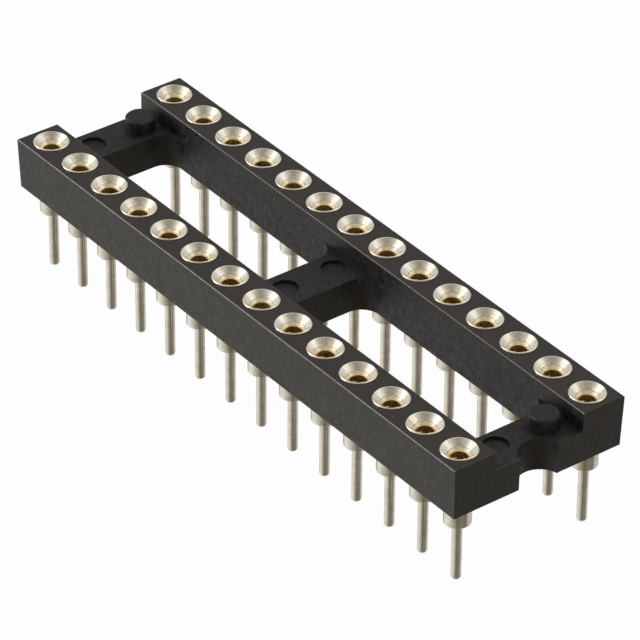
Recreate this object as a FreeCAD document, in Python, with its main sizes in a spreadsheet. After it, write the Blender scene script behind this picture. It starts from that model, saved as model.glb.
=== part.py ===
import FreeCAD, Part
import os
import re

import Sketcher

# A 28 way integrated circuit socket with turned contacts.
# Lengths are millimetres. The origin is the centre of the contact grid, on the board
# plane where the sleeve collars rest. +X points to the notched end and +Z to the mouths.

SIZES = [
    ("contacts_per_row", 14, "contacts in one row"),
    ("pitch", 2.54, "distance between neighbours in a row"),
    ("row_spacing", 7.62, "distance between the two rows"),
    ("rim_height", 4.2, "sleeve rim above the board"),
    ("rim_stand", 0.07, "sleeve rim above the rails"),
    ("stacking_clearance", 0.03, "outside inside its grid cells, for sockets side by side"),
    ("rail_width", 2.45, "each rail, at the top"),
    ("housing_height", 2.8, "underside to rail top"),
    ("draft_angle", 1.8, "lean of every moulded wall, in degrees"),
    ("edge_radius", 0.07, "rounding along the rail tops"),
    ("channel_depth", 1.03, "rail top down to the bar tops"),
    ("near_bar_width", 2.6, "bar at the notched end, along X"),
    ("middle_bar_width", 2.5, "bar in the middle, along X"),
    ("far_bar_width", 2.3, "bar at the plain end, along X"),
    ("far_bar_setback", 0.3, "plain end bar behind the rail ends"),
    ("window_radius", 1.0, "corners of the two windows"),
    ("notch_radius", 1.15, "round of the polarity notch"),
    ("notch_centre_out", 0.13, "notch centre beyond the end face"),
    ("post_diameter", 1.52, "spacer posts on the end bars"),
    ("post_height", 0.76, "post top above its bar"),
    ("post_chamfer", 0.08, "bevel round the post top"),
    ("post_inset", 1.5, "post centre inside the rail ends"),
    ("post_offset", 1.47, "post centre beside the centre line"),
    ("recess_diameter", 1.3, "shallow round recesses in the bars"),
    ("recess_depth", 0.17, "depth of those recesses"),
    ("recess_shift", 0.17, "recesses off the places that mirror the posts"),
    ("bore_diameter", 1.1, "sleeve bore that holds the clip"),
    ("bore_floor", 0.9, "blind end of the bore above the board"),
    ("sleeve_wall", 0.125, "sleeve wall around the bore, down to the collar"),
    ("head_overhang", 0.245, "sleeve head beyond the wall below it"),
    ("head_height", 0.55, "rim down to the seat under the head"),
    ("rim_width", 0.08, "flat ring round the lead-in funnel"),
    ("funnel_depth", 0.29, "rim down to the bore"),
    ("tail_diameter", 0.5, "solder tail"),
    ("tail_length", 3.2, "solder tail below the board plane"),
    ("clip_inset", 0.01, "clip rim below the end of the funnel"),
    ("clip_wall", 0.12, "sheet thickness of the clip"),
    ("clip_band_length", 0.55, "closed band at the top of the clip"),
    ("clip_lead_in", 0.17, "cone inside the top of the band"),
    ("finger_length", 1.55, "fingers below the band"),
    ("finger_count", 4, "fingers of the clip"),
    ("finger_inset", 0.005, "finger corners inside the outside of the band"),
    ("finger_root_width", 0.44, "finger where it leaves the band"),
    ("finger_tip_width", 0.26, "finger at its tip"),
    ("tip_opening", 0.4, "between opposite finger tips"),
    ("radial_clearance", 0.01, "all round a pressed-in piece"),
    ("overrun", 1.0, "cutting outlines beyond the material"),
]

RAIL_TOP = "(rim_height - rim_stand)"
BAR_TOP = f"({RAIL_TOP} - channel_depth)"
UNDERSIDE = f"({RAIL_TOP} - housing_height)"
BAR_HEIGHT = "(housing_height - channel_depth)"
HALF_LENGTH = "(pitch * contacts_per_row / 2 - stacking_clearance)"
HALF_WIDTH = "((row_spacing + pitch) / 2 - stacking_clearance)"
CHANNEL_HALF = f"({HALF_WIDTH} - rail_width)"
CHANNEL_DRAFT = "(channel_depth * tan(draft_angle))"
POST_X = f"({HALF_LENGTH} - post_inset)"
FIRST_X = "(-pitch * (contacts_per_row - 1) / 2)"
ROWS = ("-row_spacing / 2", "row_spacing / 2")
BORE_RADIUS = "(bore_diameter / 2)"
BORE_TOP = "(rim_height - funnel_depth)"
COLLAR_RADIUS = f"({BORE_RADIUS} + sleeve_wall)"
HEAD_RADIUS = f"({COLLAR_RADIUS} + head_overhang)"
SEAT_HEIGHT = "(rim_height - head_height)"
BAND_TOP = f"({BORE_TOP} - clip_inset)"
BAND_END = f"({BAND_TOP} - clip_band_length)"
BAND_RADIUS = f"({BORE_RADIUS} - radial_clearance)"
ROOT_RADIUS = f"({BAND_RADIUS} - finger_inset)"
ROOT_OUTSIDE = f"sqrt({ROOT_RADIUS} ^ 2 - (finger_root_width / 2) ^ 2)"

TOLERANCE = 1e-6

doc = FreeCAD.newDocument("ic_socket")
sheet = doc.addObject("Spreadsheet::Sheet", "Sizes")


def fill_sheet():
    """Write every size into the sheet, with its name as the alias of its cell."""
    for row, (name, value, note) in enumerate(SIZES, start=1):
        sheet.set(f"A{row}", name)
        sheet.set(f"B{row}", str(value))
        sheet.set(f"C{row}", note)
        sheet.setAlias(f"B{row}", name)
    doc.recompute()


def sized(text):
    """Turn the size names in an expression into references to the sheet."""
    names = "|".join(name for name, _, _ in SIZES)
    return re.sub(rf"\b({names})\b", r"Sizes.\1", text)


def number(text):
    """Value of an expression over the sheet, as a plain number."""
    value = sheet.evalExpression(sized(text))
    return float(getattr(value, "Value", value))


def bind(item, expressions):
    """Bind properties of a document object to expressions over the sheet."""
    for name, text in expressions.items():
        item.setExpression(name, sized(text))


def new_body(label, x="0", y="0"):
    """Empty body with its label, placed at an expression along X and along Y."""
    body = doc.addObject("PartDesign::Body", label)
    body.Label = label
    bind(body, {"Placement.Base.x": x, "Placement.Base.y": y})
    return body


def new_sketch(body, name, role="XY_Plane", height="0"):
    """Sketch on an origin plane of its body, raised by a height."""
    sketch = body.newObject("Sketcher::SketchObject", name)
    plane = [item for item in body.Origin.OriginFeatures if item.Role == role][0]
    sketch.AttachmentSupport = [(plane, "")]
    sketch.MapMode = "FlatFace"
    bind(sketch, {"AttachmentOffset.Base.z": height})
    return sketch


def new_feature(body, kind, name, sketch=None):
    """Feature of a body, made from a sketch if one is given."""
    feature = body.newObject(f"PartDesign::{kind}", name)
    if sketch is not None:
        feature.Profile = sketch
        sketch.Visibility = False
    return feature


def vector(point):
    """Point of a sketch as numbers, from a pair of expressions."""
    return FreeCAD.Vector(number(point[0]), number(point[1]), 0)


def constrain(sketch, kind, places, text):
    """Add a dimension that follows an expression."""
    index = sketch.addConstraint(Sketcher.Constraint(kind, *places, number(text)))
    sketch.setExpression(f"Constraints[{index}]", sized(text))


def pin_point(sketch, edge, end, point):
    """Hold one end of an edge at a pair of expressions measured from the origin."""
    for kind, axis, text in zip(("DistanceX", "DistanceY"), (-2, -1), point):
        if abs(number(text)) < TOLERANCE:
            sketch.addConstraint(Sketcher.Constraint("PointOnObject", edge, end, axis))
        else:
            constrain(sketch, kind, (-1, 1, edge, end), text)


def draw_outline(sketch, points):
    """Closed outline of straight lines through pairs of expressions."""
    for first, second in zip(points, points[1:] + points[:1]):
        sketch.addGeometry(Part.LineSegment(vector(first), vector(second)), False)
    for edge in range(len(points)):
        after = (edge + 1) % len(points)
        sketch.addConstraint(Sketcher.Constraint("Coincident", edge, 2, after, 1))
    for edge, point in enumerate(points):
        pin_point(sketch, edge, 1, point)


def draw_rectangle(sketch, left, right, front, back):
    """Rectangle between two expressions along X and two along Y."""
    draw_outline(sketch, [(left, front), (right, front), (right, back), (left, back)])


def draw_circle(sketch, x, y, diameter):
    """Full circle with its centre at a pair of expressions."""
    normal = FreeCAD.Vector(0, 0, 1)
    circle = Part.Circle(vector((x, y)), normal, number(diameter) / 2)
    edge = sketch.addGeometry(circle, False)
    pin_point(sketch, edge, 3, (x, y))
    constrain(sketch, "Diameter", (edge,), diameter)


def volume_without(body, feature):
    """Volume of the body before its newest feature was added."""
    solids = [item for item in body.Group if item.isDerivedFrom("PartDesign::Feature")]
    earlier = [item for item in solids if item.Name != feature.Name]
    return earlier[-1].Shape.Volume if earlier else 0.0


def checked_change(body, feature, adds=None):
    """Recompute, and stop if the feature failed or left the body as it was.

    adds says which way the volume has to go; None is for an edge treatment.
    """
    before = volume_without(body, feature)
    doc.recompute()
    change = feature.Shape.Volume - before
    wanted = {True: change, False: -change, None: abs(change)}[adds]
    if not feature.isValid() or wanted < TOLERANCE:
        raise RuntimeError(f"{body.Label}: {feature.Label} changed the volume by {change:.4f}")
    body.Tip = feature
    return feature


def pocket_down(body, name, sketch, depth):
    """Pocket below its sketch."""
    pocket = new_feature(body, "Pocket", name, sketch)
    bind(pocket, {"Length": depth})
    return checked_change(body, pocket, adds=False)


def lean_walls(body, name, walls, narrower):
    """Draft walls from the rail tops down, so the material gets narrower or wider."""
    base = body.Tip
    draft = new_feature(body, "Draft", name)
    draft.Base = (base, walls)
    draft.NeutralPlane = (base, level_faces(base.Shape, number(RAIL_TOP))[:1])
    draft.Reversed = narrower
    bind(draft, {"Angle": "draft_angle"})
    return checked_change(body, draft, adds=not narrower)


def add_rounding(body, name, edges, radius):
    """Fillet of one radius on the named edges of the newest feature."""
    base = body.Tip
    fillet = new_feature(body, "Fillet", name)
    fillet.Base = (base, edges)
    bind(fillet, {"Radius": radius})
    return checked_change(body, fillet)


def is_level(item, height):
    """Whether every corner of an edge or face lies at a height."""
    return all(abs(corner.Z - height) < TOLERANCE for corner in item.Vertexes)


def level_faces(shape, height):
    """Names of the faces that lie flat at a height."""
    numbered = enumerate(shape.Faces, start=1)
    return [f"Face{place}" for place, face in numbered if is_level(face, height)]


def level_edges(shape, height, curve):
    """Names of the edges of one kind that lie flat at a height."""
    found = []
    for place, edge in enumerate(shape.Edges, start=1):
        if edge.Curve.TypeId == f"Part::Geom{curve}" and is_level(edge, height):
            found.append(f"Edge{place}")
    return found


def upright_faces(shape, outer):
    """Names of the upright faces on the outside of the block, or of those inside it."""
    side = number(CHANNEL_HALF) + TOLERANCE
    end = number(f"{HALF_LENGTH} - far_bar_setback") - TOLERANCE
    found = []
    for place, face in enumerate(shape.Faces, start=1):
        centre = face.CenterOfMass
        upright = abs(face.normalAt(0, 0).z) < TOLERANCE
        if upright and (abs(centre.y) > side or abs(centre.x) > end) == outer:
            found.append(f"Face{place}")
    return found


def window_corner_edges(shape):
    """Names of the edges that run from the underside to the bar tops in the windows."""
    low, high, side = number(UNDERSIDE), number(BAR_TOP), number(CHANNEL_HALF)
    end = number(f"{HALF_LENGTH} - far_bar_setback") - number("far_bar_width") / 2
    found = []
    for place, edge in enumerate(shape.Edges, start=1):
        heights = sorted(corner.Z for corner in edge.Vertexes)
        rises = abs(heights[0] - low) < TOLERANCE and abs(heights[-1] - high) < TOLERANCE
        middle = edge.CenterOfMass
        if rises and abs(middle.y) < side and abs(middle.x) < end:
            found.append(f"Edge{place}")
    return found


def add_block(body):
    """Solid block that the rails and the bars are cut from."""
    sketch = new_sketch(body, "block_outline", height=RAIL_TOP)
    draw_rectangle(sketch, f"-{HALF_LENGTH}", HALF_LENGTH, f"-{HALF_WIDTH}", HALF_WIDTH)
    block = new_feature(body, "Pad", "block", sketch)
    block.Reversed = True
    bind(block, {"Length": "housing_height"})
    checked_change(body, block, adds=True)


def add_openings(body):
    """Channel between the rails, two windows below it and the step back of the far bar.

    The cuts are upright here. Each window end starts further back by what the draft
    brings it forward between the rail tops and the bar tops.
    """
    reach = f"({HALF_LENGTH} + overrun)"
    middle = f"(middle_bar_width / 2 - {CHANNEL_DRAFT})"
    near = f"({HALF_LENGTH} - near_bar_width + {CHANNEL_DRAFT})"
    far = f"({HALF_LENGTH} - far_bar_setback - far_bar_width + {CHANNEL_DRAFT})"
    step = f"({HALF_LENGTH} - far_bar_setback + {CHANNEL_DRAFT})"
    cuts = (
        ("channel", RAIL_TOP, "channel_depth", f"-{reach}", reach),
        ("near_window", BAR_TOP, BAR_HEIGHT, middle, near),
        ("far_window", BAR_TOP, BAR_HEIGHT, f"-{far}", f"-{middle}"),
        ("far_step", BAR_TOP, BAR_HEIGHT, f"-{reach}", f"-{step}"),
    )
    for name, height, depth, left, right in cuts:
        sketch = new_sketch(body, f"{name}_outline", height=height)
        draw_rectangle(sketch, left, right, f"-{CHANNEL_HALF}", CHANNEL_HALF)
        pocket_down(body, name, sketch, depth)


def shape_walls(body):
    """Draft on every upright wall, and round corners in the two windows."""
    lean_walls(body, "outer_draft", upright_faces(body.Tip.Shape, outer=True), narrower=True)
    lean_walls(body, "inner_draft", upright_faces(body.Tip.Shape, outer=False), narrower=False)
    add_rounding(body, "window_corners", window_corner_edges(body.Tip.Shape), "window_radius")


def add_notch(body):
    """Round polarity notch in the near bar."""
    sketch = new_sketch(body, "notch_outline", height=BAR_TOP)
    draw_circle(sketch, f"{HALF_LENGTH} + notch_centre_out", "0", "2 * notch_radius")
    pocket_down(body, "notch", sketch, BAR_HEIGHT)


def add_posts(body):
    """Two round spacer posts, bevelled round their tops."""
    for name, side in (("near", ""), ("far", "-")):
        sketch = new_sketch(body, f"{name}_post_outline", height=BAR_TOP)
        draw_circle(sketch, f"{side}{POST_X}", "post_offset", "post_diameter")
        post = new_feature(body, "Pad", f"{name}_post", sketch)
        bind(post, {"Length": "post_height"})
        checked_change(body, post, adds=True)
    top = number(f"{BAR_TOP} + post_height")
    rims = level_edges(post.Shape, top, "Circle")
    chamfer = new_feature(body, "Chamfer", "post_bevels")
    chamfer.Base = (post, rims)
    bind(chamfer, {"Size": "post_chamfer"})
    checked_change(body, chamfer)


def add_recesses(body):
    """Four shallow round recesses: one beside each post and two in the middle bar."""
    sketch = new_sketch(body, "recess_outlines", height=BAR_TOP)
    places = ((POST_X, "-post_offset"), ("0", "-post_offset"), ("0", "post_offset"),
              (f"-{POST_X}", "-post_offset"))
    for x, y in places:
        draw_circle(sketch, f"{x} - recess_shift", f"{y} + recess_shift", "recess_diameter")
    pocket_down(body, "recesses", sketch, "recess_depth")


def round_rail_tops(body):
    """Small rounding along the upper edges of both rails."""
    edges = level_edges(body.Tip.Shape, number(RAIL_TOP), "Line")
    add_rounding(body, "rail_rounding", edges, "edge_radius")


def add_contact_holes(body):
    """Stepped holes for the first sleeve of each row, repeated along the rows."""
    sketch = new_sketch(body, "hole_outlines", height=RAIL_TOP)
    for y in ROWS:
        draw_circle(sketch, FIRST_X, y, f"2 * {COLLAR_RADIUS}")
    doc.recompute()
    hole = new_feature(body, "Hole", "holes", sketch)
    hole.DepthType = "ThroughAll"
    hole.HoleCutType = "Counterbore"
    hole.HoleCutCustomValues = True
    sizes = {
        "Diameter": f"2 * ({COLLAR_RADIUS} + radial_clearance)",
        "HoleCutDiameter": f"2 * ({HEAD_RADIUS} + radial_clearance)",
        "HoleCutDepth": "head_height - rim_stand",
    }
    bind(hole, sizes)
    checked_change(body, hole, adds=False)
    grid = new_feature(body, "LinearPattern", "hole_grid")
    grid.Originals = [hole]
    grid.Direction = (sketch, ["H_Axis"])
    grid.Mode = "Spacing"
    bind(grid, {"Offset": "pitch", "Occurrences": "contacts_per_row"})
    checked_change(body, grid, adds=False)


def build_housing():
    """Moulded open frame that carries every contact."""
    body = new_body("housing")
    add_block(body)
    add_openings(body)
    shape_walls(body)
    add_notch(body)
    add_posts(body)
    add_recesses(body)
    round_rail_tops(body)
    add_contact_holes(body)
    return body


def revolve(body, name, points):
    """Full turn of an outline about the Z axis of the body."""
    sketch = new_sketch(body, f"{name}_outline", role="XZ_Plane")
    draw_outline(sketch, points)
    turned = new_feature(body, "Revolution", name, sketch)
    turned.ReferenceAxis = (sketch, ["V_Axis"])
    turned.Angle = 360
    return checked_change(body, turned, adds=True)


def build_sleeve(body):
    """Turned sleeve: solder tail, collar, head, funnel and blind bore."""
    outline = [
        ("0", "-tail_length"),
        ("tail_diameter / 2", "-tail_length"),
        ("tail_diameter / 2", "0"),
        (COLLAR_RADIUS, "0"),
        (COLLAR_RADIUS, SEAT_HEIGHT),
        (HEAD_RADIUS, SEAT_HEIGHT),
        (HEAD_RADIUS, "rim_height"),
        (f"{HEAD_RADIUS} - rim_width", "rim_height"),
        (BORE_RADIUS, BORE_TOP),
        (BORE_RADIUS, "bore_floor"),
        ("0", "bore_floor"),
    ]
    revolve(body, "turned_sleeve", outline)


def build_clip(body):
    """Sheet clip: a closed band with flat fingers that close in to grip a pin."""
    band = [
        (f"{BAND_RADIUS} - clip_wall", BAND_END),
        (BAND_RADIUS, BAND_END),
        (BAND_RADIUS, BAND_TOP),
        (f"{BAND_RADIUS} - clip_wall", f"{BAND_TOP} - clip_lead_in"),
    ]
    revolve(body, "band", band)
    ends = (
        ("root", BAND_END, f"({ROOT_OUTSIDE} - clip_wall)", "finger_root_width"),
        ("tip", f"{BAND_END} - finger_length", "(tip_opening / 2)", "finger_tip_width"),
    )
    sections = []
    for name, height, inside, width in ends:
        sketch = new_sketch(body, f"finger_{name}", height=height)
        side = f"({width} / 2)"
        draw_rectangle(sketch, inside, f"{inside} + clip_wall", f"-{side}", side)
        sections.append(sketch)
    finger = new_feature(body, "AdditiveLoft", "finger", sections[0])
    finger.Sections = sections[1:]
    finger.Ruled = True
    checked_change(body, finger, adds=True)
    fingers = new_feature(body, "PolarPattern", "fingers")
    fingers.Originals = [finger]
    fingers.Axis = (sections[0], ["N_Axis"])
    fingers.Angle = 360
    bind(fingers, {"Occurrences": "finger_count"})
    checked_change(body, fingers, adds=True)


def build_contacts(prefix, build_master):
    """One piece modelled in full, and a body based on it for every other contact."""
    columns = range(int(number("contacts_per_row")))
    places = [(f"{FIRST_X} + {column} * pitch", y) for y in ROWS for column in columns]
    bodies = []
    for count, (x, y) in enumerate(places, start=1):
        body = new_body(f"{prefix}_{count:02d}", x, y)
        if bodies:
            base = body.newObject("PartDesign::FeatureBase", f"{prefix}_form_{count:02d}")
            base.BaseFeature = bodies[0]
            body.Tip = base
        else:
            build_master(body)
        bodies.append(body)
    return bodies


def check_document():
    """Stop if any object of the document failed to compute."""
    for item in doc.Objects:
        if {"Invalid", "Error"} & set(item.State):
            raise RuntimeError(f"{item.Label} did not compute: {item.State}")


def write_steps(bodies):
    """Write one STEP file for each body, named after its label."""
    os.makedirs("parts", exist_ok=True)
    for body in bodies:
        if body.Shape.isNull() or not body.Shape.isValid():
            raise RuntimeError(f"{body.Label} has no valid shape")
        body.Shape.exportStep(os.path.join("parts", f"{body.Label}.step"))


def main():
    """Build the housing, the sleeves and the clips, and write them out."""
    fill_sheet()
    housing = build_housing()
    sleeves = build_contacts("sleeve", build_sleeve)
    clips = build_contacts("clip", build_clip)
    doc.recompute()
    check_document()
    write_steps([housing] + sleeves + clips)


main()
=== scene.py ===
import logging
import math
from dataclasses import dataclass
from enum import Enum

import bmesh
import bpy
from mathutils import Matrix, Vector


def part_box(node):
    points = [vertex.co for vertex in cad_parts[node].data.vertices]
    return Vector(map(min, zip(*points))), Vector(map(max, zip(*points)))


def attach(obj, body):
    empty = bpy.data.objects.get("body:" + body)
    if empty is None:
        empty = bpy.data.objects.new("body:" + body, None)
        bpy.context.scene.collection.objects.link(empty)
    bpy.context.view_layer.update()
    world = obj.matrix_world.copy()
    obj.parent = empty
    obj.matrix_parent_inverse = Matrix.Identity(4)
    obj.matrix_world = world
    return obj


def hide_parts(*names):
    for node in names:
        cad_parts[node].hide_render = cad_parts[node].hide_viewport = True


# Looks of an open-frame socket for a dual in line circuit: a black moulded housing that
# carries two rows of turned contacts. Sizes in the classes are millimetres and angles are
# degrees, meshes are metres, and every place comes from the node that a piece stands for.

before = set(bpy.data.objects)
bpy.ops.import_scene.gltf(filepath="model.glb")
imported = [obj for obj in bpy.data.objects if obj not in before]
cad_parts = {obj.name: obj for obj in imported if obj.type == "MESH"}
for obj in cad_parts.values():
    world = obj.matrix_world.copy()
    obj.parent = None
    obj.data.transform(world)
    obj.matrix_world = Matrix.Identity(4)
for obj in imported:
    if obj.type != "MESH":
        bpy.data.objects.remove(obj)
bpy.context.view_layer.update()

MM = 0.001
BODY = "root"
WELD = 0.0001
SMOOTH_UNDER = 32.0
SPECK_CORE = 0.6
LOG = logging.getLogger("ic_socket")

Colour = tuple[float, float, float]
Range = tuple[float, float]
Ring = tuple[tuple[float, Colour], ...]
NodeSocket = bpy.types.NodeSocket

NONE_TO_ALL: Range = (0.0, 1.0)
ALL_TO_NONE: Range = (1.0, 0.0)
NOISE_MIDDLE: Range = (0.3, 0.7)


def towards(azimuth: float, elevation: float) -> Vector:
    """Direction in the frame.

    Args:
        azimuth: Angle round +Z from +X, in degrees.
        elevation: Angle above the board plane, in degrees.

    Returns:
        A vector of length 1.
    """
    around, up = math.radians(azimuth), math.radians(elevation)
    return Vector((math.cos(up) * math.cos(around), math.cos(up) * math.sin(around), math.sin(up)))


class Slot(Enum):
    """Material slots that the record names."""

    HOUSING = "housing"
    SLEEVE = "sleeve"
    CLIP = "clip"


class Nodes:
    """One node tree, with short calls for the nodes that the materials and the world share."""

    def __init__(self, tree: bpy.types.NodeTree) -> None:
        """Start with an empty tree.

        Args:
            tree: Tree of a material or a world.
        """
        self.tree = tree
        self.tree.nodes.clear()

    def add(self, kind: str, **settings: str) -> bpy.types.Node:
        """Add one node.

        Args:
            kind: Its type.
            settings: Its properties and their values.

        Returns:
            The node.
        """
        node = self.tree.nodes.new(kind)
        for name, value in settings.items():
            setattr(node, name, value)
        return node

    def link(self, value: NodeSocket, target: NodeSocket) -> None:
        """Link an output to an input.

        Args:
            value: The output.
            target: The input.
        """
        self.tree.links.new(value, target)

    def spread(self, value: NodeSocket, given: Range, wanted: Range = NONE_TO_ALL) -> NodeSocket:
        """Stretch part of a value's range over another range, clamped at both ends.

        Args:
            value: Value to stretch.
            given: Inputs that give the two ends.
            wanted: Outputs at the two ends.

        Returns:
            The stretched value.
        """
        node = self.add("ShaderNodeMapRange")
        names = ("From Min", "From Max", "To Min", "To Max")
        for name, number in zip(names, (*given, *wanted)):
            node.inputs[name].default_value = number
        self.link(value, node.inputs["Value"])
        return node.outputs["Result"]

    def combined(self, operation: str, first: NodeSocket, second: NodeSocket | float) -> NodeSocket:
        """Two values put together.

        Args:
            operation: What is done to them, such as ADD or MULTIPLY.
            first: One value.
            second: The other value, a socket or a number.

        Returns:
            The result.
        """
        node = self.add("ShaderNodeMath", operation=operation)
        self.link(first, node.inputs[0])
        if isinstance(second, float):
            node.inputs[1].default_value = second
        else:
            self.link(second, node.inputs[1])
        return node.outputs["Value"]

    def blend(
        self, share: NodeSocket, first: Colour | NodeSocket, second: Colour | NodeSocket
    ) -> NodeSocket:
        """Mix two colours.

        Args:
            share: How much of the second colour shows.
            first: Colour or socket under it.
            second: Colour or socket that comes in.

        Returns:
            The mixed colour.
        """
        node = self.add("ShaderNodeMix", data_type="RGBA")
        self.link(share, node.inputs["Factor"])
        for name, colour in (("A", first), ("B", second)):
            if isinstance(colour, tuple):
                node.inputs[name].default_value = (*colour, 1.0)
            else:
                self.link(colour, node.inputs[name])
        return node.outputs["Result"]

    def choose(
        self, share: NodeSocket, first: bpy.types.Node, second: bpy.types.Node
    ) -> bpy.types.Node:
        """Show the second shader where the share is 1.

        Args:
            share: How much of the second shader shows.
            first: Node of the shader that shows elsewhere.
            second: Node of the second shader.

        Returns:
            The node that holds both.
        """
        mixed = self.add("ShaderNodeMixShader")
        self.link(share, mixed.inputs["Fac"])
        self.link(first.outputs[0], mixed.inputs[1])
        self.link(second.outputs[0], mixed.inputs[2])
        return mixed

    def component(self, vector: NodeSocket, axis: str) -> NodeSocket:
        """One component of a vector.

        Args:
            vector: The vector.
            axis: X, Y or Z.

        Returns:
            The component.
        """
        split = self.add("ShaderNodeSeparateXYZ")
        self.link(vector, split.inputs["Vector"])
        return split.outputs[axis]


class Surface(Nodes):
    """One node material with a principled shader."""

    def __init__(self, name: str) -> None:
        """Start the material.

        Args:
            name: Name of the material.
        """
        self.material = bpy.data.materials.new(name)
        self.material.use_nodes = True
        super().__init__(self.material.node_tree)
        self.shader = self.add("ShaderNodeBsdfPrincipled")
        output = self.add("ShaderNodeOutputMaterial")
        self.link(self.shader.outputs["BSDF"], output.inputs["Surface"])
        self.places = self.add("ShaderNodeTexCoord").outputs["Object"]

    def fix(self, **values: float | tuple[float, ...]) -> None:
        """Set shader sockets to constants.

        Args:
            values: Socket names with underscores for spaces, and their values.
        """
        for name, value in values.items():
            self.shader.inputs[name.replace("_", " ")].default_value = value

    def feed(self, name: str, value: NodeSocket) -> None:
        """Link a value into a socket of the shader.

        Args:
            name: Name of the socket.
            value: Value that goes in.
        """
        self.link(value, self.shader.inputs[name])

    def noise(
        self, grain: float, detail: float = 3.0, roughness: float = 0.5,
        along: tuple[float, float, float] = (1.0, 1.0, 1.0),
    ) -> NodeSocket:
        """Noise whose features have a size on the object.

        Args:
            grain: Size of a feature in millimetres.
            detail: Number of octaves.
            roughness: Strength of the finer octaves.
            along: Extra density along each axis.

        Returns:
            The noise value.
        """
        mapping = self.add("ShaderNodeMapping")
        mapping.inputs["Scale"].default_value = along
        self.link(self.places, mapping.inputs["Vector"])
        node = self.add("ShaderNodeTexNoise")
        node.inputs["Scale"].default_value = 1.0 / (grain * MM)
        node.inputs["Detail"].default_value = detail
        node.inputs["Roughness"].default_value = roughness
        self.link(mapping.outputs["Vector"], node.inputs["Vector"])
        return node.outputs["Fac"]

    def specks(self, spacing: float, size: float) -> NodeSocket:
        """Mask of small round specks.

        Args:
            spacing: Distance between neighbours in millimetres.
            size: Radius of a speck as a share of the spacing.

        Returns:
            1 in a speck and 0 elsewhere.
        """
        node = self.add("ShaderNodeTexVoronoi")
        node.inputs["Scale"].default_value = 1.0 / (spacing * MM)
        self.link(self.places, node.inputs["Vector"])
        return self.spread(node.outputs["Distance"], (size, size * SPECK_CORE))

    def past(self, axis: str, limits: Range, wanted: Range = NONE_TO_ALL) -> NodeSocket:
        """Mask by the distance from the middle plane of the part.

        Args:
            axis: Axis that crosses the plane.
            limits: Distances where the change starts and ends, in millimetres.
            wanted: Outputs at the two distances.

        Returns:
            The mask.
        """
        node = self.add("ShaderNodeMath", operation="ABSOLUTE")
        self.link(self.component(self.places, axis), node.inputs[0])
        start, end = limits
        return self.spread(node.outputs["Value"], (start * MM, end * MM), wanted)

    def facing(self, axis: str) -> NodeSocket:
        """How squarely the surface faces along an axis, either way.

        Args:
            axis: Axis of the part.

        Returns:
            1 where the surface is square to the axis and 0 where it runs along it.
        """
        normal = self.add("ShaderNodeNewGeometry").outputs["Normal"]
        node = self.add("ShaderNodeMath", operation="ABSOLUTE")
        self.link(self.component(normal, axis), node.inputs[0])
        return node.outputs["Value"]

    def bumps(self, *layers: tuple[NodeSocket, float]) -> None:
        """Stack bump layers into the shader's normal.

        Args:
            layers: Pairs of a height from 0 to 1 and its depth in millimetres.
        """
        normal = None
        for height, depth in layers:
            node = self.add("ShaderNodeBump")
            node.inputs["Strength"].default_value = 1.0
            node.inputs["Distance"].default_value = depth * MM
            self.link(height, node.inputs["Height"])
            if normal is not None:
                self.link(normal, node.inputs["Normal"])
            normal = node.outputs["Normal"]
        self.feed("Normal", normal)


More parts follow.
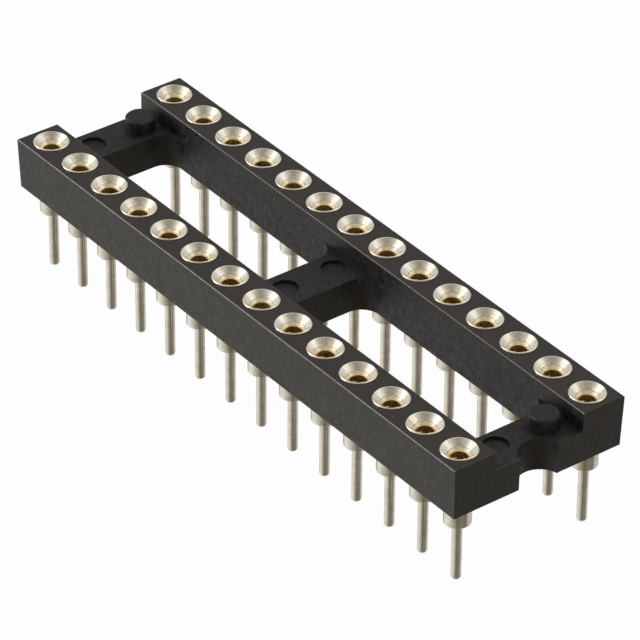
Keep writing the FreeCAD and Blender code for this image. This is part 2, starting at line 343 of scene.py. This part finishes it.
@dataclass(frozen=True)
class MouldedPlastic:
    """Black glass-filled plastic with a fine spark-eroded texture.

    It is duller, and painted darker as shade, on the level floors of the channel between the rails.
    It has a painted highlight and more gloss on the long roundings along the outside.
    """

    dark: Colour = (0.0044, 0.0034, 0.0030)
    light: Colour = (0.0150, 0.0122, 0.0110)
    pale: Colour = (0.0330, 0.0282, 0.0262)
    # Painted shade for the level floors inside the channel.
    painted_shade: Colour = (0.0040, 0.0031, 0.0028)
    # Painted highlight along the long outside roundings.
    painted_glint: Colour = (0.150, 0.140, 0.136)
    dust: Colour = (0.24, 0.23, 0.21)
    grain: float = 0.07
    grain_depth: float = 0.013
    mottle: float = 0.30
    mottle_depth: float = 0.011
    cloud: float = 1.6
    cloud_depth: float = 0.030
    pale_from: Range = (0.48, 0.72)
    pale_share: float = 0.6
    channel_side: Range = (2.58, 2.63)
    channel_end: Range = (17.55, 17.62)
    floor_from: Range = (0.3, 0.7)
    off_upright: Range = (0.12, 0.40)
    off_level: Range = (0.85, 0.98)
    off_ends: Range = (0.10, 0.30)
    dust_spacing: float = 0.33
    dust_size: float = 0.10
    dust_patch: float = 0.9
    dust_from: Range = (0.64, 0.68)
    roughness: Range = (0.36, 0.64)
    floor_dullness: float = 0.12
    edge_shine: float = 0.24
    specular: float = 0.46
    specular_tint: tuple[float, float, float, float] = (1.0, 0.94, 0.91, 1.0)

    def long_edges(self, surface: Surface) -> NodeSocket:
        """Mask of the roundings along the part, between upright and level faces.

        Args:
            surface: Material that is being built.

        Returns:
            1 on the roundings and 0 on the faces beside them.
        """
        upright = surface.facing("Z")
        rises = surface.spread(upright, self.off_upright)
        level = surface.spread(upright, self.off_level, ALL_TO_NONE)
        across = surface.spread(surface.facing("Y"), self.off_ends)
        return surface.combined("MULTIPLY", surface.combined("MULTIPLY", rises, level), across)

    def material(self) -> bpy.types.Material:
        """Build the node material.

        Returns:
            The material.
        """
        surface = Surface("moulded_plastic")
        grain = surface.noise(self.grain, detail=4.0, roughness=0.6)
        mottle = surface.noise(self.mottle, detail=3.0, roughness=0.6)
        cloud = surface.noise(self.cloud, detail=3.0)
        beside = surface.past("Y", self.channel_side, ALL_TO_NONE)
        within = surface.past("X", self.channel_end, ALL_TO_NONE)
        channel = surface.combined("MULTIPLY", beside, within)
        level = surface.spread(surface.facing("Z"), self.floor_from)
        # Painted shade: level faces inside the channel, the bar tops and window floors, are painted
        # darker for the shade between the rails, and the same mask makes them rougher.
        shaded_floors = surface.combined("MULTIPLY", channel, level)
        open_side = surface.spread(channel, NONE_TO_ALL, ALL_TO_NONE)
        # Painted highlight: the long roundings outside the channel get a light colour as a glint,
        # and less roughness.
        edges = surface.combined("MULTIPLY", self.long_edges(surface), open_side)
        lone = surface.spread(surface.noise(self.dust_patch, detail=1.0), self.dust_from)
        specks = surface.specks(self.dust_spacing, self.dust_size)
        dust = surface.combined("MULTIPLY", specks, lone)
        shade = surface.blend(surface.spread(grain, NOISE_MIDDLE), self.dark, self.light)
        pale = surface.spread(mottle, self.pale_from, (0.0, self.pale_share))
        for share, colour in (
            (pale, self.pale), (shaded_floors, self.painted_shade), (edges, self.painted_glint), (dust, self.dust)
        ):
            shade = surface.blend(share, shade, colour)
        surface.feed("Base Color", shade)
        gloss = surface.spread(mottle, NOISE_MIDDLE, self.roughness)
        dulled = surface.combined("MULTIPLY", shaded_floors, self.floor_dullness)
        rubbed = surface.combined("MULTIPLY", edges, self.edge_shine)
        gloss = surface.combined("ADD", gloss, dulled)
        surface.feed("Roughness", surface.combined("SUBTRACT", gloss, rubbed))
        surface.fix(Specular_IOR_Level=self.specular, Specular_Tint=self.specular_tint)
        surface.bumps(
            (cloud, self.cloud_depth), (mottle, self.mottle_depth), (grain, self.grain_depth)
        )
        return surface.material


@dataclass(frozen=True)
class TinPlate:
    """Satin tin over turned brass: fine tool rings, and shallow dents in the heads."""

    bright: Colour = (0.81, 0.785, 0.705)
    warm: Colour = (0.66, 0.61, 0.49)
    ring: float = 0.035
    ring_depth: float = 0.0012
    round_the_axis: tuple[float, float, float] = (0.02, 0.02, 1.0)
    patch: float = 0.5
    warm_from: Range = (0.38, 0.72)
    dent: float = 0.22
    dent_depth: float = 0.016
    head_from: Range = (3.6, 3.7)
    pore: float = 0.05
    pore_depth: float = 0.0006
    roughness: Range = (0.15, 0.27)
    head_dullness: float = 0.07

    def material(self) -> bpy.types.Material:
        """Build the node material.

        Returns:
            The material.
        """
        surface = Surface("tin_plate")
        rings = surface.noise(self.ring, detail=2.0, along=self.round_the_axis)
        patch = surface.noise(self.patch, detail=4.0, roughness=0.6)
        pores = surface.noise(self.pore, detail=3.0, roughness=0.6)
        head = surface.past("Z", self.head_from)
        dents = surface.combined("MULTIPLY", surface.noise(self.dent, detail=2.0), head)
        warmth = surface.spread(patch, self.warm_from)
        surface.feed("Base Color", surface.blend(warmth, self.bright, self.warm))
        satin = surface.spread(pores, NOISE_MIDDLE, self.roughness)
        dulled = surface.combined("MULTIPLY", head, self.head_dullness)
        surface.feed("Roughness", surface.combined("ADD", satin, dulled))
        surface.fix(Metallic=1.0)
        surface.bumps(
            (rings, self.ring_depth), (dents, self.dent_depth), (pores, self.pore_depth)
        )
        return surface.material


@dataclass(frozen=True)
class GoldSpring:
    """Gold over spring sheet, smooth from rolling, with a painted highlight that makes the lead-in
    cone paler.
    """

    bright: Colour = (0.97, 0.81, 0.50)
    deep: Colour = (0.91, 0.67, 0.32)
    # Pale colour painted on the lead-in cone as a highlight.
    rubbed: Colour = (0.98, 0.90, 0.67)
    patch: float = 0.35
    deep_from: Range = (0.35, 0.7)
    cone_from: Range = (3.72, 3.80)
    highlight_share: float = 0.8
    grain: float = 0.05
    grain_depth: float = 0.0010
    rolling: tuple[float, float, float] = (1.0, 1.0, 0.15)
    roughness: Range = (0.26, 0.40)

    def material(self) -> bpy.types.Material:
        """Build the node material.

        Returns:
            The material.
        """
        surface = Surface("gold_spring")
        patch = surface.noise(self.patch, detail=3.0)
        rolled = surface.noise(self.grain, detail=2.0, along=self.rolling)
        tone = surface.blend(surface.spread(patch, self.deep_from), self.bright, self.deep)
        # Painted highlight: the top of the clip, its lead-in cone, is blended towards a pale
        # colour.
        cone = surface.past("Z", self.cone_from, (0.0, self.highlight_share))
        surface.feed("Base Color", surface.blend(cone, tone, self.rubbed))
        surface.feed("Roughness", surface.spread(rolled, NOISE_MIDDLE, self.roughness))
        surface.fix(Metallic=1.0)
        surface.bumps((rolled, self.grain_depth))
        return surface.material


class Piece:
    """Mesh work that every piece shares."""

    def __init__(self, name: str, slot: Slot, nodes: tuple[str, ...]) -> None:
        """Start an empty mesh for a piece.

        Args:
            name: Name of the piece.
            slot: Slot of the record that it takes its finish from.
            nodes: CAD nodes that it stands for.
        """
        self.name = name
        self.slot = slot
        self.nodes = nodes
        self.bm = bmesh.new()

    def turn(self, profile: list[tuple[float, float]], steps: int) -> None:
        """Spin a profile all the way round the upright axis of the frame.

        Args:
            profile: Radius and height of each point in millimetres. It is closed, unless it
                starts and ends on the axis.
            steps: Number of facets round the axis.
        """
        points = [
            self.bm.verts.new((radius * MM, 0.0, height * MM)) for radius, height in profile
        ]
        edges = [self.bm.edges.new(pair) for pair in zip(points, points[1:])]
        if profile[0][0] > 0.0:
            edges.append(self.bm.edges.new((points[-1], points[0])))
        bmesh.ops.spin(
            self.bm, geom=points + edges, cent=(0.0, 0.0, 0.0), axis=(0.0, 0.0, 1.0),
            dvec=(0.0, 0.0, 0.0), angle=math.tau, steps=steps, use_merge=True,
            use_normal_flip=False, use_duplicate=False,
        )
        bmesh.ops.remove_doubles(self.bm, verts=self.bm.verts, dist=WELD * MM)

    def stand_on(self, node: str) -> None:
        """Move what was made on the frame's upright axis to the axis of a node.

        Args:
            node: CAD node that is round about its own upright axis.
        """
        low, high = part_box(node)
        centre = Vector(((low.x + high.x) / 2, (low.y + high.y) / 2, 0.0))
        bmesh.ops.translate(self.bm, vec=centre, verts=self.bm.verts)

    def finish(self, material: bpy.types.Material) -> bpy.types.Object:
        """Make the object, with its normals outward, and tie it to the frame.

        Args:
            material: Finish of the piece.

        Returns:
            The finished object.
        """
        bmesh.ops.recalc_face_normals(self.bm, faces=self.bm.faces)
        for face in self.bm.faces:
            face.smooth = True
        sharp = math.radians(SMOOTH_UNDER)
        for edge in self.bm.edges:
            if len(edge.link_faces) == 2 and edge.calc_face_angle(0.0) > sharp:
                edge.smooth = False
        mesh = bpy.data.meshes.new(self.name)
        self.bm.to_mesh(mesh)
        self.bm.free()
        mesh.materials.append(material)
        piece = bpy.data.objects.new(self.name, mesh)
        bpy.context.scene.collection.objects.link(piece)
        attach(piece, BODY)
        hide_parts(*self.nodes)
        LOG.info("%s: %d faces", self.name, len(mesh.polygons))
        return piece


@dataclass(frozen=True)
class Rounding:
    """Small radius on the sharp edges of a piece.

    Its angle is the smallest edge angle that is rounded.
    """

    width: float
    angle: float
    segments: int = 2

    def soften(self, piece: bpy.types.Object) -> None:
        """Round the edges with a live modifier.

        Args:
            piece: Piece to soften.
        """
        bevel = piece.modifiers.new("softened_edges", "BEVEL")
        bevel.width = self.width * MM
        bevel.segments = self.segments
        bevel.limit_method = "ANGLE"
        bevel.angle_limit = math.radians(self.angle)
        bevel.use_clamp_overlap = True
        bevel.harden_normals = True


@dataclass
class Housing:
    """Moulded housing, with the small edge radii that its mould leaves."""

    node: str = "housing"
    weld: float = 0.0002
    flat_angle: float = 0.8
    rounding: Rounding = Rounding(width=0.045, angle=30.0)

    def build(self, material: bpy.types.Material) -> bpy.types.Object:
        """Build the housing from its node's merged mesh.

        Args:
            material: Finish of the plastic.

        Returns:
            The finished piece.
        """
        piece = Piece("moulded_housing", Slot.HOUSING, (self.node,))
        piece.bm.from_mesh(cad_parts[self.node].data)
        bmesh.ops.remove_doubles(piece.bm, verts=piece.bm.verts, dist=self.weld * MM)
        bmesh.ops.dissolve_limit(
            piece.bm, angle_limit=math.radians(self.flat_angle), use_dissolve_boundaries=False,
            verts=piece.bm.verts, edges=piece.bm.edges, delimit=set(),
        )
        shell = piece.finish(material)
        self.rounding.soften(shell)
        even = shell.modifiers.new("even_shading", "WEIGHTED_NORMAL")
        even.keep_sharp = True
        return shell


@dataclass
class TurnedSleeve:
    """One turned sleeve: tail, collar, head, funnel and blind bore."""

    node: str
    steps: int = 48
    tail_radius: float = 0.25
    tail_chamfer: float = 0.07
    tail_chamfer_slope: float = 1.4
    tail_end: float = -3.2
    collar_radius: float = 0.675
    collar_chamfer: float = 0.11
    seat: float = 3.65
    head_radius: float = 0.92
    rim: float = 4.2
    rim_round: float = 0.04
    funnel_radius: float = 0.84
    bore_radius: float = 0.55
    bore_top: float = 3.91
    bore_floor: float = 0.9
    drill_point: float = 0.12
    rounding: Rounding = Rounding(width=0.012, angle=35.0)

    def profile(self) -> list[tuple[float, float]]:
        """Half outline of the sleeve, from the tail's tip to the bore's end.

        Returns:
            Radius and height of each point in millimetres.
        """
        return [
            (0.0, self.tail_end),
            (self.tail_radius - self.tail_chamfer, self.tail_end),
            (self.tail_radius, self.tail_end + self.tail_chamfer * self.tail_chamfer_slope),
            (self.tail_radius, 0.0),
            (self.collar_radius - self.collar_chamfer, 0.0),
            (self.collar_radius, self.collar_chamfer),
            (self.collar_radius, self.seat),
            (self.head_radius, self.seat),
            (self.head_radius, self.rim - self.rim_round),
            (self.head_radius - self.rim_round, self.rim),
            (self.funnel_radius + self.rim_round / 2, self.rim),
            (self.funnel_radius - self.rim_round / 2, self.rim - self.rim_round),
            (self.bore_radius, self.bore_top),
            (self.bore_radius, self.bore_floor),
            (0.0, self.bore_floor - self.drill_point),
        ]

    def build(self, material: bpy.types.Material) -> bpy.types.Object:
        """Build the sleeve on the axis of its node.

        Args:
            material: Finish of the sleeve.

        Returns:
            The finished piece.
        """
        piece = Piece(f"turned_{self.node}", Slot.SLEEVE, (self.node,))
        piece.turn(self.profile(), self.steps)
        piece.stand_on(self.node)
        sleeve = piece.finish(material)
        self.rounding.soften(sleeve)
        return sleeve


@dataclass
class SpringClip:
    """One spring clip: a closed band and four fingers that close in below it."""

    node: str
    steps: int = 40
    band_radius: float = 0.54
    wall: float = 0.12
    band_top: float = 3.9
    lead_in: float = 0.17
    band_end: float = 3.35
    tip_end: float = 1.8
    finger_count: int = 4
    root_lap: float = 0.04
    root_outside: float = 0.488
    root_width: float = 0.44
    tip_inside: float = 0.2
    tip_width: float = 0.26
    bow: float = 0.035
    finger_cuts: int = 7
    rounding: Rounding = Rounding(width=0.012, angle=40.0)

    def band(self) -> list[tuple[float, float]]:
        """Section of the closed band, with the cone inside its top.

        Returns:
            Radius and height of each point in millimetres.
        """
        inside = self.band_radius - self.wall
        return [
            (inside, self.band_end), (self.band_radius, self.band_end),
            (self.band_radius, self.band_top), (inside, self.band_top - self.lead_in),
        ]

    def finger(self) -> bpy.types.Mesh:
        """Shape one finger from a block: narrowed, leaned in and bowed.

        Returns:
            Mesh of the finger on the +X side of the axis.
        """
        bm = bmesh.new()
        bmesh.ops.create_cube(bm, size=1.0)
        upright = [edge for edge in bm.edges if edge.verts[0].co.z != edge.verts[1].co.z]
        bmesh.ops.subdivide_edges(bm, edges=upright, cuts=self.finger_cuts)
        root_inside = self.root_outside - self.wall
        top = self.band_end + self.root_lap
        for vert in bm.verts:
            # The block reaches 0.5 each way, so these run from 0 to 1.
            down, out = 0.5 - vert.co.z, 0.5 + vert.co.x
            width = self.root_width + (self.tip_width - self.root_width) * down
            inside = root_inside + (self.tip_inside - root_inside) * down
            inside += self.bow * math.sin(math.pi * down)
            height = top + (self.tip_end - top) * down
            vert.co = Vector((inside + out * self.wall, vert.co.y * width, height)) * MM
        mesh = bpy.data.meshes.new("clip_finger")
        bm.to_mesh(mesh)
        bm.free()
        return mesh

    def build(self, material: bpy.types.Material) -> bpy.types.Object:
        """Build the clip on the axis of its node.

        Args:
            material: Finish of the clip.

        Returns:
            The finished piece.
        """
        piece = Piece(f"spring_{self.node}", Slot.CLIP, (self.node,))
        piece.turn(self.band(), self.steps)
        finger = self.finger()
        for _ in range(self.finger_count):
            piece.bm.from_mesh(finger)
            finger.transform(Matrix.Rotation(math.tau / self.finger_count, 4, "Z"))
        bpy.data.meshes.remove(finger)
        piece.stand_on(self.node)
        clip = piece.finish(material)
        self.rounding.soften(clip)
        return clip


@dataclass
class Softbox:
    """Square white lamp that faces the object. Its distance and size are in metres."""

    name: str
    azimuth: float
    elevation: float
    distance: float
    size: float
    watts: float

    def build(self) -> None:
        """Make the lamp, aimed at the middle of the object."""
        light = bpy.data.lights.new(self.name, "AREA")
        light.shape = "SQUARE"
        light.size = self.size
        light.energy = self.watts
        lamp = bpy.data.objects.new(self.name, light)
        away = towards(self.azimuth, self.elevation)
        lamp.location = away * self.distance
        lamp.rotation_euler = away.to_track_quat("Z", "Y").to_euler()
        bpy.context.scene.collection.objects.link(lamp)
        LOG.info("%s: %.2f W", self.name, self.watts)


@dataclass
class StudioWorld:
    """White studio: plain ambient light, and the rings of cards that metal mirrors.

    A ring lists its colours round the compass. Its first number runs from 0 in the -X
    direction through -Y at a quarter and +X at a half to +Y at three quarters. A change
    from one ring to the next is given by the sines of two elevations.
    """

    ambient: float = 0.62
    table: Ring = (
        (0.00, (0.62, 0.60, 0.54)),
        (0.08, (0.95, 0.94, 0.91)),
        (0.15, (0.92, 0.91, 0.87)),
        (0.21, (0.75, 0.73, 0.68)),
        (0.27, (0.56, 0.54, 0.48)),
        (0.33, (0.38, 0.36, 0.31)),
        (0.385, (0.17, 0.155, 0.115)),
        (0.41, (0.17, 0.155, 0.115)),
        (0.46, (0.25, 0.235, 0.19)),
        (0.53, (0.26, 0.24, 0.20)),
        (0.60, (0.20, 0.18, 0.16)),
        (0.64, (0.56, 0.54, 0.51)),
        (0.68, (0.64, 0.62, 0.58)),
        (0.93, (0.60, 0.57, 0.50)),
    )
    walls: Ring = (
        (0.00, (0.68, 0.66, 0.60)),
        (0.06, (0.80, 0.79, 0.75)),
        (0.16, (0.80, 0.78, 0.72)),
        (0.34, (0.60, 0.58, 0.52)),
        (0.40, (0.20, 0.19, 0.15)),
        (0.50, (0.34, 0.32, 0.28)),
        (0.60, (0.36, 0.34, 0.31)),
        (0.66, (0.86, 0.85, 0.82)),
        (0.78, (0.80, 0.79, 0.77)),
        (0.83, (0.56, 0.54, 0.49)),
        (0.90, (0.66, 0.64, 0.59)),
        (0.95, (0.58, 0.56, 0.51)),
        (0.98, (0.58, 0.56, 0.50)),
    )
    ceiling: Ring = (
        (0.00, (0.70, 0.69, 0.66)),
        (0.08, (0.88, 0.87, 0.85)),
        (0.15, (0.90, 0.89, 0.87)),
        (0.21, (0.76, 0.74, 0.70)),
        (0.30, (0.46, 0.43, 0.37)),
        (0.39, (0.27, 0.245, 0.19)),
        (0.43, (0.29, 0.265, 0.21)),
        (0.50, (0.42, 0.39, 0.34)),
        (0.55, (0.48, 0.46, 0.40)),
        (0.59, (0.78, 0.76, 0.71)),
        (0.64, (0.95, 0.94, 0.91)),
        (0.70, (0.74, 0.73, 0.70)),
        (0.74, (0.72, 0.71, 0.68)),
        (0.82, (0.60, 0.58, 0.55)),
        (0.88, (0.50, 0.48, 0.45)),
        (0.94, (0.56, 0.54, 0.50)),
    )
    table_to_walls: Range = (-0.42, -0.18)
    walls_to_ceiling: Range = (0.22, 0.44)
    card: Colour = (0.60, 0.52, 0.38)
    card_azimuth: float = -37.0
    card_elevation: float = 35.0
    card_edge: Range = (20.0, 10.0)
    white: Colour = (1.0, 1.0, 1.0)

    def build(self) -> None:
        """Make the world's shader."""
        world = bpy.data.worlds.new("studio")
        world.use_nodes = True
        bpy.context.scene.world = world
        nodes = Nodes(world.node_tree)
        place = nodes.add("ShaderNodeTexCoord").outputs["Generated"]
        height = nodes.component(place, "Z")
        table, walls, ceiling = (
            self.ring(nodes, place, stops) for stops in (self.table, self.walls, self.ceiling)
        )
        cards = nodes.blend(nodes.spread(height, self.table_to_walls), table, walls)
        cards = nodes.blend(nodes.spread(height, self.walls_to_ceiling), cards, ceiling)
        cards = nodes.blend(self.card_mask(nodes, place), cards, self.card)
        plain = nodes.add("ShaderNodeBackground")
        plain.inputs["Strength"].default_value = self.ambient
        mirrored = nodes.add("ShaderNodeBackground")
        nodes.link(cards, mirrored.inputs["Color"])
        backdrop = nodes.add("ShaderNodeBackground")
        backdrop.inputs["Color"].default_value = (*self.white, 1.0)
        rays = nodes.add("ShaderNodeLightPath").outputs
        either = nodes.combined("MAXIMUM", rays["Is Glossy Ray"], rays["Is Transmission Ray"])
        unseen = nodes.choose(either, plain, mirrored)
        seen = nodes.choose(rays["Is Camera Ray"], unseen, backdrop)
        nodes.link(seen.outputs[0], nodes.add("ShaderNodeOutputWorld").inputs["Surface"])

    def ring(self, nodes: Nodes, place: NodeSocket, stops: Ring) -> NodeSocket:
        """Colours round the compass.

        Args:
            nodes: Tree of the world.
            place: Direction that is looked at.
            stops: Place and colour of each stop.

        Returns:
            The colour.
        """
        around = nodes.add("ShaderNodeTexGradient", gradient_type="RADIAL")
        nodes.link(place, around.inputs["Vector"])
        ramp = nodes.add("ShaderNodeValToRGB")
        elements = ramp.color_ramp.elements
        closed = (*stops, (1.0, stops[0][1]))
        while len(elements) < len(closed):
            elements.new(0.5)
        for stop, (at, colour) in zip(elements, closed):
            stop.position = at
            stop.color = (*colour, 1.0)
        nodes.link(around.outputs["Fac"], ramp.inputs["Fac"])
        return ramp.outputs["Color"]

    def card_mask(self, nodes: Nodes, place: NodeSocket) -> NodeSocket:
        """Mask of the small warm card that is held before the rings.

        Args:
            nodes: Tree of the world.
            place: Direction that is looked at.

        Returns:
            1 on the card and 0 past its edge.
        """
        near = nodes.add("ShaderNodeVectorMath", operation="DOT_PRODUCT")
        near.inputs[1].default_value = towards(self.card_azimuth, self.card_elevation)
        nodes.link(place, near.inputs[0])
        outer, inner = (math.cos(math.radians(degrees)) for degrees in self.card_edge)
        return nodes.spread(near.outputs["Value"], (outer, inner))


@dataclass
class PaperFloor:
    """White paper that the tails stand on, seen from above only.

    Its side is in metres. The glow is the share of plain white that the camera sees on it,
    and its own colour takes the object's shadow.
    """

    height: float = -3.2
    half_side: float = 2.0
    paper: Colour = (0.88, 0.88, 0.88)
    glow: float = 0.97

    def build(self) -> None:
        """Make the floor."""
        bm = bmesh.new()
        bmesh.ops.create_grid(bm, x_segments=2, y_segments=2, size=self.half_side)
        bmesh.ops.translate(bm, vec=(0.0, 0.0, self.height * MM), verts=bm.verts)
        mesh = bpy.data.meshes.new("paper_floor")
        bm.to_mesh(mesh)
        bm.free()
        mesh.materials.append(self.material())
        floor = bpy.data.objects.new("paper_floor", mesh)
        bpy.context.scene.collection.objects.link(floor)
        floor.visible_glossy = False

    def material(self) -> bpy.types.Material:
        """White to the camera, with a faint shadow, and clear from below.

        Returns:
            The material.
        """
        material = bpy.data.materials.new("paper")
        material.use_nodes = True
        nodes = Nodes(material.node_tree)
        matt = nodes.add("ShaderNodeBsdfDiffuse")
        matt.inputs["Color"].default_value = (*self.paper, 1.0)
        camera = nodes.add("ShaderNodeLightPath").outputs["Is Camera Ray"]
        share = nodes.combined("MULTIPLY", camera, self.glow)
        mixed = nodes.choose(share, matt, nodes.add("ShaderNodeEmission"))
        below = nodes.add("ShaderNodeNewGeometry").outputs["Backfacing"]
        one_sided = nodes.choose(below, mixed, nodes.add("ShaderNodeBsdfTransparent"))
        nodes.link(one_sided.outputs[0], nodes.add("ShaderNodeOutputMaterial").inputs["Surface"])
        return material


@dataclass
class PhotoCamera:
    """Camera at the photograph's viewpoint, for a square picture.

    Its clip distances are in metres.
    """

    place: tuple[float, float, float] = (153.7789, -116.7463, 131.9216)
    azimuth: float = 142.63
    elevation: float = -34.19
    roll: float = -0.49
    lens: float = 268.58
    sensor: float = 36.0
    clip: Range = (0.01, 10.0)

    def build(self) -> None:
        """Make the camera and give it to the scene."""
        ahead = towards(self.azimuth, self.elevation)
        right = ahead.cross(Vector((0.0, 0.0, 1.0))).normalized()
        below = ahead.cross(right)
        tilt = math.radians(self.roll)
        across = right * math.cos(tilt) + below * math.sin(tilt)
        upward = right * math.sin(tilt) - below * math.cos(tilt)
        data = bpy.data.cameras.new("photo_camera")
        data.sensor_width = self.sensor
        data.lens = self.lens
        data.clip_start, data.clip_end = self.clip
        camera = bpy.data.objects.new("photo_camera", data)
        turned = Matrix((across, upward, -ahead)).transposed().to_4x4()
        camera.matrix_world = Matrix.Translation(Vector(self.place) * MM) @ turned
        bpy.context.scene.collection.objects.link(camera)
        bpy.context.scene.camera = camera


class Socket:
    """The whole part: housing, sleeves and clips."""

    def __init__(self) -> None:
        """Make the three finishes once."""
        self.finishes = {
            Slot.HOUSING: MouldedPlastic().material(),
            Slot.SLEEVE: TinPlate().material(),
            Slot.CLIP: GoldSpring().material(),
        }

    def dress_nodes(self) -> None:
        """Give every CAD node the finish of its slot."""
        for name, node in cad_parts.items():
            finish = self.finishes[Slot(name.split("_")[0])]
            for index in range(len(node.data.materials)):
                node.data.materials[index] = finish
            if not node.data.materials:
                node.data.materials.append(finish)

    def build(self) -> list[bpy.types.Object]:
        """Build every piece.

        Returns:
            The finished pieces.
        """
        self.dress_nodes()
        pieces = [Housing().build(self.finishes[Slot.HOUSING])]
        for name in sorted(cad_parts):
            if name.startswith(Slot.SLEEVE.value):
                pieces.append(TurnedSleeve(name).build(self.finishes[Slot.SLEEVE]))
            if name.startswith(Slot.CLIP.value):
                pieces.append(SpringClip(name).build(self.finishes[Slot.CLIP]))
        return pieces


LAMPS = (
    Softbox("key_softbox", azimuth=-132.0, elevation=8.0, distance=0.5, size=0.2, watts=1.0),
    Softbox("side_softbox", azimuth=-136.0, elevation=30.0, distance=0.5, size=0.34, watts=0.26),
    Softbox("top_softbox", azimuth=100.0, elevation=72.0, distance=0.5, size=0.35, watts=0.5),
    Softbox("fill_softbox", azimuth=62.0, elevation=28.0, distance=0.6, size=0.35, watts=0.16),
)


def main() -> None:
    """Build the studio and the socket in order."""
    logging.basicConfig(level=logging.INFO, format="%(name)s %(message)s")
    bpy.context.scene.view_settings.view_transform = "Standard"
    PhotoCamera().build()
    StudioWorld().build()
    PaperFloor().build()
    for lamp in LAMPS:
        lamp.build()
    pieces = Socket().build()
    LOG.info("%d pieces", len(pieces))


if __name__ == "__main__":
    main()
